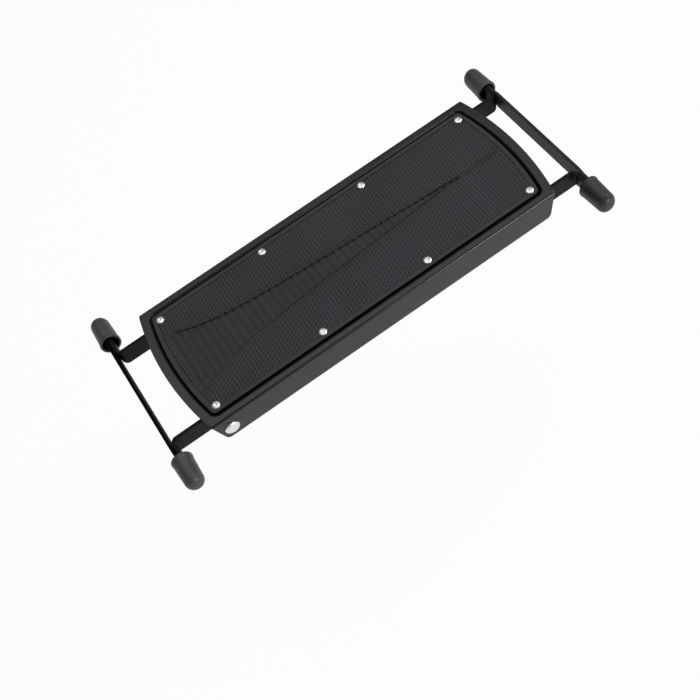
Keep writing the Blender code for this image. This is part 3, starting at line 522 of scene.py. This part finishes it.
# %% Walk round the tray's section
def tray_rings():
    """Rings of the whole tray, one for each step of the walk.

    A step is (side inset, side drop, end inset, end drop). Near the corners the end's points
    also follow the bend down, as the bent sheet does where it is cut.
    """
    shares = np.linspace(0, 1, 57)[1:] ** 2.2
    none = np.zeros((1, 1))
    outer_x = plan_quarter(none, none, none + SHARP_CORNER, shares)[0]
    bottom = flange_drop(outer_x[0])
    top, under = rim_sections()
    turn = np.linspace(0, math.pi / 2, 9)
    outer = np.column_stack([BEND_RADIUS * (1 - np.sin(turn)), BEND_RADIUS * (1 - np.cos(turn))])
    inner = outer * (1 - SHEET / BEND_RADIUS) + SHEET
    shrink = np.linspace(0.0014, EDGE_BREAK + GUARD, len(turn) - 1)
    low, near_low = bottom - EDGE_BREAK, bottom - EDGE_BREAK - GUARD
    high = BEND_RADIUS + EDGE_BREAK
    wider = END_RIM_EXTRA * np.clip((top[:, 0] - RIM_FLAT) / 0.0010, 0, 1)
    steps = [(inset, drop, inset + extra, drop) for (inset, drop), extra in zip(top, wider)]
    steps += [(*place, end, 0) for place, end in zip(outer[:-1], shrink)]
    steps += [(0, BEND_RADIUS, EDGE_BREAK, 0), (0, high, EDGE_BREAK / 4, EDGE_BREAK / 4),
              (0, near_low, 0, EDGE_BREAK), (0, low, 0, EDGE_BREAK + GUARD / 2),
              (EDGE_BREAK / 4, bottom - EDGE_BREAK / 4, 0, SHEET / 2 - GUARD / 2),
              (EDGE_BREAK, bottom, 0, SHEET / 2),
              (SHEET - EDGE_BREAK, bottom, 0, SHEET / 2 + GUARD / 2),
              (SHEET - EDGE_BREAK / 4, bottom - EDGE_BREAK / 4, 0, SHEET - EDGE_BREAK - GUARD / 2),
              (SHEET, low, 0, SHEET - EDGE_BREAK),
              (SHEET, near_low, EDGE_BREAK / 4, SHEET - EDGE_BREAK / 4),
              (SHEET, high, EDGE_BREAK, SHEET)]
    steps += [(*place, end, SHEET) for place, end in zip(inner[:0:-1], shrink[::-1])]
    steps += [(inset, drop, inset, drop) for inset, drop in under]
    one = np.ones(len(bottom))
    side, side_drop, end, end_drop = (np.array([step[part] * one for step in steps])
                                      for part in range(4))
    side, end = side[:, :1], end[:, :1]
    recess = np.clip(RECESS_CORNER - (side - RIM_WIDTH), 0.0004, None)
    corner = np.where(side <= BEND_RADIUS + GUARD / 2, SHARP_CORNER, recess)
    x, y = plan_quarter(side, end, corner, shares)
    on_side = np.arange(x.shape[1]) >= ON_SIDE
    drop = np.where(on_side, side_drop, end_drop + bend_drop(y))
    quarter = np.stack([x, y, RIM_TOP - drop], axis=-1)
    return whole_rings(quarter, quarter)


def tray_painted_shade(rings):
    """Painted shade: 1 deep in the recess, 0 elsewhere. The far wall is well lit, so only its lip
    gets some.
    """
    drops = rim_sections()[0][:, 1]
    wall, lip = np.zeros((2, *rings.shape[:2]))
    wall[:len(drops)] = np.clip((drops - 0.0010) / 0.0010, 0, 1)[:, None]
    lip[:len(drops)] = (0.5 * np.clip((drops - 0.0001) / 0.0003, 0, 1) * (drops < 0.0012))[:, None]
    far_side = np.clip((rings[..., 1] - 0.044) / 0.003, 0, 1)
    return wall * (1 - far_side) + lip * far_side


rings = tray_rings()
flat_end = np.empty((rings.shape[1] // 2 - 1, 0, 3))
tray = skin("tray_shell", rings, flat_end, flat_end)
# Painted shade in the recess, kept as an attribute for the paint.
mark(tray, "painted_shade", tray_painted_shade(rings))
dress(tray, "tray_body", ["tray"], tray_paint)

# %% [markdown]
# ## The tread
#
# The rubber mat has a smooth border with a fine line, then a field of dimples, and down the
# middle a sunk band like a curved arrow, crossed by grooves. The foot rests across those grooves.
# The outer strips follow the plan, so rings make them. Inside, a net of rungs crosses the mat,
# with a rung at every change of depth along it and rows that follow the band's edge. So the steep
# walls of band and grooves fall between rows of points instead of cutting across faces.
#
# In the photograph the mat sits about 0.4 mm off the middle and reaches a little nearer the far
# wall, so its points are moved at the end. The band's far edge gets a dashed line of painted shade,
# and its near edge painted shade that turns to a painted highlight where it flares.

# %% The band and its grooves
mat_low, mat_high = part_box("tread_mat")
MAT_TOP, MAT_BOTTOM = mat_high.z, mat_low.z
MAT_INSET = 0.0082
MAT_SHIFT, MAT_SPREAD = 0.0004, 0.012
MAT_CORNER = 0.0036
BAND_START, BAND_TIP = 0.0085 - HALF_LENGTH, HALF_LENGTH - 0.0410
BAND_DEPTH = 0.0003
BAND_TAPER, BAND_FLARE, FLARE_REACH, BAND_MARGIN = 0.0635, 0.0138, 0.026, 0.0004
GROOVE_PITCH, GROOVE_WIDTH, GROOVE_DEPTH = 0.00567, 0.0020, 0.0005
FIELD_INSET = 0.0043
DOT_RISE = 0.0001


def band_half_width(x):
    """Half the band's width: a straight taper to the tip, plus a flare that dies away."""
    flare = BAND_FLARE * np.exp(-(x - BAND_START) / FLARE_REACH)
    return BAND_TAPER * (BAND_TIP - x) + flare + BAND_MARGIN


def ease(value, low, high):
    """Rise smoothly from 0 at low to 1 at high."""
    share = np.clip((value - low) / (high - low), 0, 1)
    return share * share * (3 - 2 * share)


def groove_share(x, y):
    """1 on a groove's floor and 0 outside it. A groove is as wide as its ends are round."""
    number = np.round((x - BAND_START) / GROOVE_PITCH - 0.5)
    number = np.clip(number, 0, None)
    middle = BAND_START + (number + 0.5) * GROOVE_PITCH
    half = band_half_width(middle)
    reach = half + 0.0005 - GROOVE_WIDTH / 2
    away = np.hypot(x - middle, np.clip(np.abs(y) - reach, 0, None))
    return (1 - ease(away, 0.0001, GROOVE_WIDTH / 2)) * (2 * half > 0.0022)


def band_share(x, y):
    """1 inside the band and 0 outside it."""
    inside = 1 - ease(np.abs(y) - band_half_width(x), -0.0001, 0.0001)
    return inside * ease(x, BAND_START - 0.0002, BAND_START + 0.0001) * (x < BAND_TIP)


# %% Rings and net of the tread
def column_shares(sign, corner_x):
    """Places along a side with one at each change of depth, as shares from corner to middle."""
    count = math.ceil(2 * HALF_LENGTH / GROOVE_PITCH)
    offsets = np.array([-1.3, -1.0, -0.85, -0.7, -0.3, 0.3, 0.7, 0.85, 1.0, 1.3]) * GROOVE_WIDTH / 2
    middles = BAND_START + (np.arange(count) + 0.5) * GROOVE_PITCH
    x = sign * (middles[:, None] + offsets).ravel()
    x = np.sort(x[(x > 0.0002) & (x < corner_x - 0.0003)])[::-1]
    return 1 - np.append(x, 0) / corner_x


def tread_parts():
    """Rings from the mat's underside to its dotted field, and the points on the net's rungs."""
    steps = np.array([(0, MAT_BOTTOM - MAT_TOP + 0.0001), (0, -0.0004), (0.00004, -0.00025),
                      (0.00015, -0.00014), (0.0003, -DOT_RISE), (0.0005, -DOT_RISE),
                      (0.0031, -DOT_RISE), (0.0032, -DOT_RISE), (0.0035, -0.0005),
                      (0.0038, -DOT_RISE), (0.0040, -DOT_RISE), (0.0042, 0), (FIELD_INSET, 0)])
    inset = MAT_INSET + steps[:, :1]
    corner = np.full_like(inset, MAT_CORNER)
    corner_x = plan_corner(inset[-1, 0], inset[-1, 0], MAT_CORNER)[0]
    quarters = []
    for sign in (-1, 1):
        x, y = plan_quarter(inset, inset, corner, column_shares(sign, corner_x))
        quarters.append(np.stack([x, y, MAT_TOP + steps[:, 1:] + 0 * x], axis=-1))
    rings = whole_rings(*quarters)
    middle = rings.shape[1] // 2
    edge_x, edge_y = rings[-1, 1:middle, 0] - TRAY_X, -rings[-1, 1:middle, 1]
    half = np.clip(band_half_width(edge_x), 0.0016, None)
    lanes = [half * share for share in (0.25, 0.5, 0.75)]
    lanes += [half + past for past in (-0.0007, -0.0004, -0.0001, 0.0001, 0.0003, 0.0005, 0.0008)]
    lanes += [half + 0.0008 + (HALF_WIDTH - inset[-1] - half) * share for share in (0.2, 0.45, 0.7)]
    lanes = np.stack(lanes, axis=-1) / (HALF_WIDTH - inset[-1])
    straight = np.clip(np.arange(len(edge_x)), ON_SIDE, len(edge_x) - 1 - ON_SIDE)
    lanes = np.clip(lanes[straight], 0, 0.97)
    y = edge_y[:, None] * np.hstack([-lanes[:, ::-1], np.zeros((len(lanes), 1)), lanes])
    x = edge_x[:, None] + 0 * y
    z = MAT_TOP - np.maximum(BAND_DEPTH * band_share(x, y), GROOVE_DEPTH * groove_share(x, y))
    return rings, np.stack([x + TRAY_X, y, z], axis=-1)


def border_shade(rings):
    """Painted shade on the mat's edge and its border line, for the rings. Both fade at the far
    side.
    """
    shade = np.zeros(rings.shape[:2])
    near_edge = np.clip((0.040 - rings[:4, :, 1]) / 0.004, 0.1, 1)
    shade[:4] = np.array([1.0, 1.0, 0.7, 0.3])[:, None] * near_edge
    away = np.clip(rings[8, :, 1] / 0.096 + (rings[8, :, 0] - TRAY_X) / 0.27 + 0.6, 0.1, 1)
    shade[7:10] = np.array([0.3, 0.75, 0.3])[:, None] * away
    return shade.ravel()


def tread_marks(x, y, z):
    """Dimples with a painted highlight, and painted shade, for points of the mat, x from the
    middle.
    """
    band = band_share(x, y)
    dotted = (1 - np.maximum(band, groove_share(x, y))) * (z > MAT_TOP - DOT_RISE / 2)
    wave = (0.5 - 0.5 * np.cos(2 * math.pi * (x - BAND_START) / GROOVE_PITCH)) ** 1.5
    edge = 1 - ease(np.abs(np.abs(y) - band_half_width(x)), 0.0003, 0.0010)
    edge = edge * (x > BAND_START) * (x < BAND_TIP)
    # pale is a painted highlight where the near edge flares; dark is painted shade on the band's
    # edges.
    flared = np.clip((-0.060 - x) / 0.020, 0, 1)
    pale = edge * (y < 0) * flared
    dark = edge * np.where(y > 0, 0.15 + 0.8 * wave, 0.4 * (1 - flared))
    return dotted * (1 - pale) - 0.8 * pale, np.maximum(dark, band * (0.03 + 0.22 * wave))


rings, net = tread_parts()
tread = skin("tread_rubber", rings, np.empty((len(net), 0, 3)), net)
place = np.zeros(3 * len(tread.data.vertices))
tread.data.vertices.foreach_get("co", place)
x, y, z = place.reshape(-1, 3).T
dimple_shade_and_highlight, painted_shade = tread_marks(x - TRAY_X, y, z)
shade = border_shade(rings)
painted_shade[:len(shade)] = shade
# The first attribute holds the dimples and a painted highlight, the second painted shade.
mark(tread, "dimple_shade_and_highlight", dimple_shade_and_highlight)
mark(tread, "painted_shade", painted_shade)
y += MAT_SHIFT + MAT_SPREAD * np.clip(y, 0, None)
tread.data.vertices.foreach_set("co", place)
dress(tread, "tray_body", ["tread_mat"], tread_finish)
print("grooves in the band:", int((BAND_TIP - BAND_START) / GROOVE_PITCH))

# %% [markdown]
# ## Turned pieces
#
# A rivet is a profile spun round its axis. On the lathe of numpy that is one outer product: each
# radius times the cosine and the sine of each angle. The tread's rivets have a low dome with
# the dimple that a blind rivet's pin leaves behind. The pivot rivets and the rivets at the
# crossing of the legs have plain domes, closed by a press.

# %% Spin a profile
def spin(profile, centre, axis, steps=48):
    """Rings of (radius, height) pairs turned about an axis, which is "Z", "Y" or "-Y"."""
    radius, height = np.array(profile).T
    angle = np.linspace(0, 2 * math.pi, steps, endpoint=False)
    first = radius[:, None] * np.cos(angle)
    second = radius[:, None] * np.sin(angle)
    height = height[:, None] + 0 * first
    turned = {"Z": (first, second, height), "Y": (first, height, second),
              "-Y": (first, -height, second)}
    return np.stack(turned[axis], axis=-1) + np.array(centre)


def dome(radius, height, base, brim=0.0002, stop=0.0):
    """A low dome from its rim inwards: an upright brim, then a quarter ellipse to radius stop."""
    angle = np.linspace(0, math.acos(stop / radius), 13)
    across, up = radius * np.cos(angle), (height - brim) * np.sin(angle) / math.sin(angle[-1])
    return [(radius, base + brim / 3)] + list(zip(across, base + brim + up))


def mirrored(profile):
    """The same profile upside down and backwards, for a tail under a shank."""
    return [(radius, -height) for radius, height in reversed(profile)]


# %% Rivets of the tread
def tread_rivet(name):
    """Head, shank and tail: the dimple's wall leans in to a flat floor."""
    low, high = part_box(name)
    top, bottom = high.z, low.z
    under = top - 0.0010
    head = [(0.00285, under)] + dome(0.0030, 0.0010, under, stop=0.0015)
    head += [(0.00135, top - 0.00002), (0.00122, top - 0.00010), (0.00100, top - 0.00045),
             (0.00080, top - 0.00055), (0.00010, top - 0.00058)]
    tail = [(0.00010, bottom), (0.0016, bottom), (0.0022, bottom + 0.0001),
            (0.0025, bottom + 0.0003), (0.0025, bottom + 0.0007), (0.0016, bottom + 0.0007),
            (0.0016, under)]
    centre = ((low.x + high.x) / 2, (low.y + high.y) / 2, 0)
    rivet = skin(name + "_turned", spin(tail + head, centre, "Z"))
    dress(rivet, "tray_body", [name], steel_finish)


for number in range(1, 9):
    tread_rivet(f"mat_rivet_{number}")

# %% Rivets of the pivots and of the crossings
def pivot_rivet(name, axis):
    """A domed head outside the flange and a cone sunk in the leg, joined by a shank."""
    low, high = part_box(name)
    inner, outer = min(abs(low.y), abs(high.y)), max(abs(low.y), abs(high.y))
    flange = HALF_WIDTH + 0.00005
    profile = [(0.0001, inner), (0.0043, inner), (0.0044, inner + 0.0001), (0.0027, inner + 0.0010),
               (0.0027, flange), (0.0054, flange)]
    profile += dome(0.0056, outer - flange, flange, stop=0.0001)
    centre = ((low.x + high.x) / 2, 0, (low.z + high.z) / 2)
    rivet = skin(name + "_turned", spin(profile, centre, axis))
    dress(rivet, "tray_body", [name], steel_finish)


def crossing_rivet(name, axis):
    """A domed head outside the long leg and a smaller dome inside the short one."""
    low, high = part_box(name)
    inner, outer = min(abs(low.y), abs(high.y)), max(abs(low.y), abs(high.y))
    base, seat = outer - 0.0018, inner + 0.0013
    profile = mirrored(dome(0.0042, 0.0013, -seat, stop=0.0001)) + [(0.0027, seat), (0.0027, base)]
    profile += [(0.0052, base)] + dome(0.0054, 0.0018, base, stop=0.0001)
    centre = ((low.x + high.x) / 2, 0, (low.z + high.z) / 2)
    rivet = skin(name + "_turned", spin(profile, centre, axis))
    dress(rivet, "long_legs", [name], steel_finish)


for word, axis in (("near", "-Y"), ("far", "Y")):
    pivot_rivet(f"pivot_rivet_{word}", axis)
    crossing_rivet(f"scissor_rivet_{word}", axis)

# %% [markdown]
# ## The rubber caps
#
# A cap is dipped or moulded over an oval core and then pulled over the bent foot of the leg. It
# tapers a little, ends in a dome and has a rolled lip round its mouth. So each ring is an oval
# whose two half sizes are functions of the depth from the mouth. The walk starts on the dome,
# comes back to the lip, turns inside and ends at the floor of the bore.

# %% Make the four caps
BARREL_LENGTH, DOME_LENGTH = 0.018, 0.0058
MOUTH_HALF_X, MOUTH_HALF_Z = 0.0076, 0.0092
DOME_HALF_X, DOME_HALF_Z = 0.0069, 0.0084


def cap_profile():
    """Rows of (depth, half size in x, half size in z) from the dome's tip to the bore's floor."""
    swing = np.linspace(0.02, math.pi / 2, 17)
    bulge = np.sin(swing) ** 0.8
    dome_rows = np.column_stack([BARREL_LENGTH + DOME_LENGTH * np.cos(swing),
                                 DOME_HALF_X * bulge, DOME_HALF_Z * bulge])
    depth = np.array([0.0165, 0.013, 0.009, 0.005, 0.0031, 0.0027, 0.0024, 0.0020, 0.0015, 0.0009,
                      0.0004, 0.0001, 0.0])
    swell = np.array([0, 0, 0, 0, 0, 0.00004, 0.00012, 0.0002, 0.00025, 0.00025, 0.0002, 0,
                      -0.0003])
    share = depth / BARREL_LENGTH
    barrel = np.column_stack([depth, MOUTH_HALF_X + (DOME_HALF_X - MOUTH_HALF_X) * share + swell,
                              MOUTH_HALF_Z + (DOME_HALF_Z - MOUTH_HALF_Z) * share + swell])
    bore = np.array([(0.0, 0.0064, 0.0079), (0.0002, 0.00616, 0.00766), (0.0006, 0.0061, 0.0076),
                     (0.0100, 0.0056, 0.0072), (0.0178, 0.0053, 0.0069), (0.0186, 0.0050, 0.0066),
                     (0.0190, 0.0041, 0.0057), (0.0190, 0.0010, 0.0014)])
    return np.vstack([dome_rows, barrel, bore])


def cap(name, side, body):
    """Ovals set out along the leg's foot, from the mouth beside the tray outwards."""
    low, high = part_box(name)
    depth, across, up = cap_profile().T[:, :, None]
    mouth = min(abs(low.y), abs(high.y))
    angle = np.linspace(0, 2 * math.pi, 64, endpoint=False)
    x = (low.x + high.x) / 2 + across * np.cos(angle)
    z = (low.z + high.z) / 2 + up * np.sin(angle)
    rings = np.stack([x, side * (mouth + depth) + 0 * x, z], axis=-1)
    # The near cap of the long legs gets the painted shade.
    finish = shaded_cap_finish if name == "long_leg_cap_near" else cap_finish
    dress(skin(name + "_moulded", rings), body, [name], finish)


for word, side in (("near", -1), ("far", 1)):
    cap(f"long_leg_cap_{word}", side, "long_legs")
    cap(f"short_leg_cap_{word}", side, "short_legs")

# %% [markdown]
# ## Flat steel pieces
#
# The legs, the crossbars, the racks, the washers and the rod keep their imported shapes, which
# are right already. They only lack what a press leaves on every edge: a small round. The packed
# surfaces are loose triangles, so a Weld modifier joins them first. Then a Bevel modifier
# rounds each edge that turns by more than 35 degrees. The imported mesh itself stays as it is.

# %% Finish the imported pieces
def finish_packed(name, finish, edge_width):
    """Join the triangles, round the edges and give the piece its finish."""
    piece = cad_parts[name]
    weld = piece.modifiers.new("join", "WELD")
    weld.merge_threshold = 0.00001
    bevel = piece.modifiers.new("edge", "BEVEL")
    bevel.width = edge_width
    bevel.segments = 2
    bevel.limit_method = "ANGLE"
    bevel.angle_limit = math.radians(35)
    bevel.harden_normals = True
    for slot in piece.material_slots:
        slot.material = finish


for word in ("near", "far"):
    for name in ("long_leg_", "short_leg_", "rack_"):
        finish_packed(name + word, leg_paint, 0.0003)
    finish_packed("pivot_bush_" + word, steel_finish, 0.0002)
    finish_packed("scissor_washer_" + word, steel_finish, 0.0001)
# The crossbars get the lit and the shaded copies of the paint.
finish_packed("long_leg_crossbar", lit_long_bar_paint, 0.0004)
finish_packed("short_leg_crossbar", shaded_short_bar_paint, 0.0003)
finish_packed("latch_rod", steel_finish, 0.0001)
print("packed pieces finished")

# %% [markdown]
# ## Floor, light and camera
#
# The legs open below the tray, so the floor lies far enough down to leave them room. A product
# photograph has a white ground: here the camera sees the floor and the sky as white, while the
# piece itself is lit by soft lamps and by a pale sky.

# %% White ground
def white_ground(name, kept_shadow):
    """A pale floor that the camera and reflections see as white, less a share of its shadow."""
    finish = Finish(name)
    camera = finish.node("LightPath", output="Is Camera Ray")
    glossy = finish.node("LightPath", output="Is Glossy Ray")
    clear = finish.node("LightPath", output="Is Transmission Ray")
    seen = finish.node("Math", {"operation": "MINIMUM"}, {0: camera + glossy + clear, 1: 1.0})
    glow = finish.tree.nodes.new("ShaderNodeEmission")
    glow.inputs["Strength"].default_value = 1.0
    mix = finish.tree.nodes.new("ShaderNodeMixShader")
    finish.feed(mix.inputs[0], seen * (1 - kept_shadow))
    finish.tree.links.new(finish.shader.outputs[0], mix.inputs[1])
    finish.tree.links.new(glow.outputs[0], mix.inputs[2])
    out = finish.tree.nodes["Material Output"]
    finish.tree.links.new(mix.outputs[0], out.inputs["Surface"])
    return finish.paint(Base_Color=(0.86, 0.86, 0.86, 1.0), Roughness=0.9)


FLOOR_DROP = 0.21
FLOOR_REACH = 6.0
floor_mesh = bpy.data.meshes.new("floor")
corners = [(FLOOR_REACH * x, FLOOR_REACH * y, -FLOOR_DROP)
           for x, y in ((-1, -1), (1, -1), (1, 1), (-1, 1))]
floor_mesh.from_pydata(corners, [], [(0, 1, 2, 3)])
floor = bpy.data.objects.new("floor", floor_mesh)
bpy.context.collection.objects.link(floor)
floor.data.materials.append(white_ground("floor_white", 0.07))
floor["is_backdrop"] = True


# %% Sky and lamps
def sky(strength):
    """An even pale sky for the light, and pure white for the camera."""
    world = bpy.data.worlds.new("studio")
    world.use_nodes = True
    tree = world.node_tree
    ground = tree.nodes["Background"]
    ground.inputs["Color"].default_value = (1.0, 1.0, 1.0, 1.0)
    path = tree.nodes.new("ShaderNodeLightPath")
    level = tree.nodes.new("ShaderNodeMapRange")
    level.inputs["To Min"].default_value = strength
    level.inputs["To Max"].default_value = 1.0
    tree.links.new(path.outputs["Is Camera Ray"], level.inputs["Value"])
    tree.links.new(level.outputs["Result"], ground.inputs["Strength"])
    bpy.context.scene.world = world


def softbox(name, place, target, width, height, power):
    """A rectangular lamp that faces a target."""
    lamp = bpy.data.lights.new(name, "AREA")
    lamp.shape = "RECTANGLE"
    lamp.size, lamp.size_y, lamp.energy = width, height, power
    item = bpy.data.objects.new(name, lamp)
    item.location = place
    item.rotation_euler = (Vector(target) - Vector(place)).to_track_quat("-Z", "Y").to_euler()
    bpy.context.collection.objects.link(item)


sky(0.30)
softbox("key", (1.2, -0.1, 1.2), (0.05, 0, 0), 0.8, 0.8, 9.0)
softbox("front", (0.55, -1.5, 0.33), (0.05, 0, 0), 0.4, 0.5, 12.8)
softbox("top", (0.1, 0.5, 1.7), (0, 0, 0), 1.4, 1.4, 9.3)

# %% Camera
camera_data = bpy.data.cameras.new("camera")
camera_data.lens = 54.409
camera_data.sensor_width = 36.0
camera_data.clip_start = 0.01
camera = bpy.data.objects.new("camera", camera_data)
turn = Matrix(((0.819355, 0.564942, -0.097458), (-0.528314, 0.678085, -0.510964),
               (-0.222580, 0.470150, 0.854059)))
camera.matrix_world = Matrix.Translation((-0.102860, -0.421561, 0.616804)) @ turn.to_4x4()
bpy.context.collection.objects.link(camera)
bpy.context.scene.camera = camera
bpy.context.scene.view_settings.view_transform = "Standard"

# %% [markdown]
# ## Measure the size
#
# The dressed piece has to stay inside the imported piece's box. The largest overhang of its box
# past the imported one is printed.

# %% Measure the overhang
seen_low, seen_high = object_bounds()
overhang = max(*(cad_low - seen_low), *(seen_high - cad_high))
print("largest overhang in mm:", round(1000 * overhang, 3))
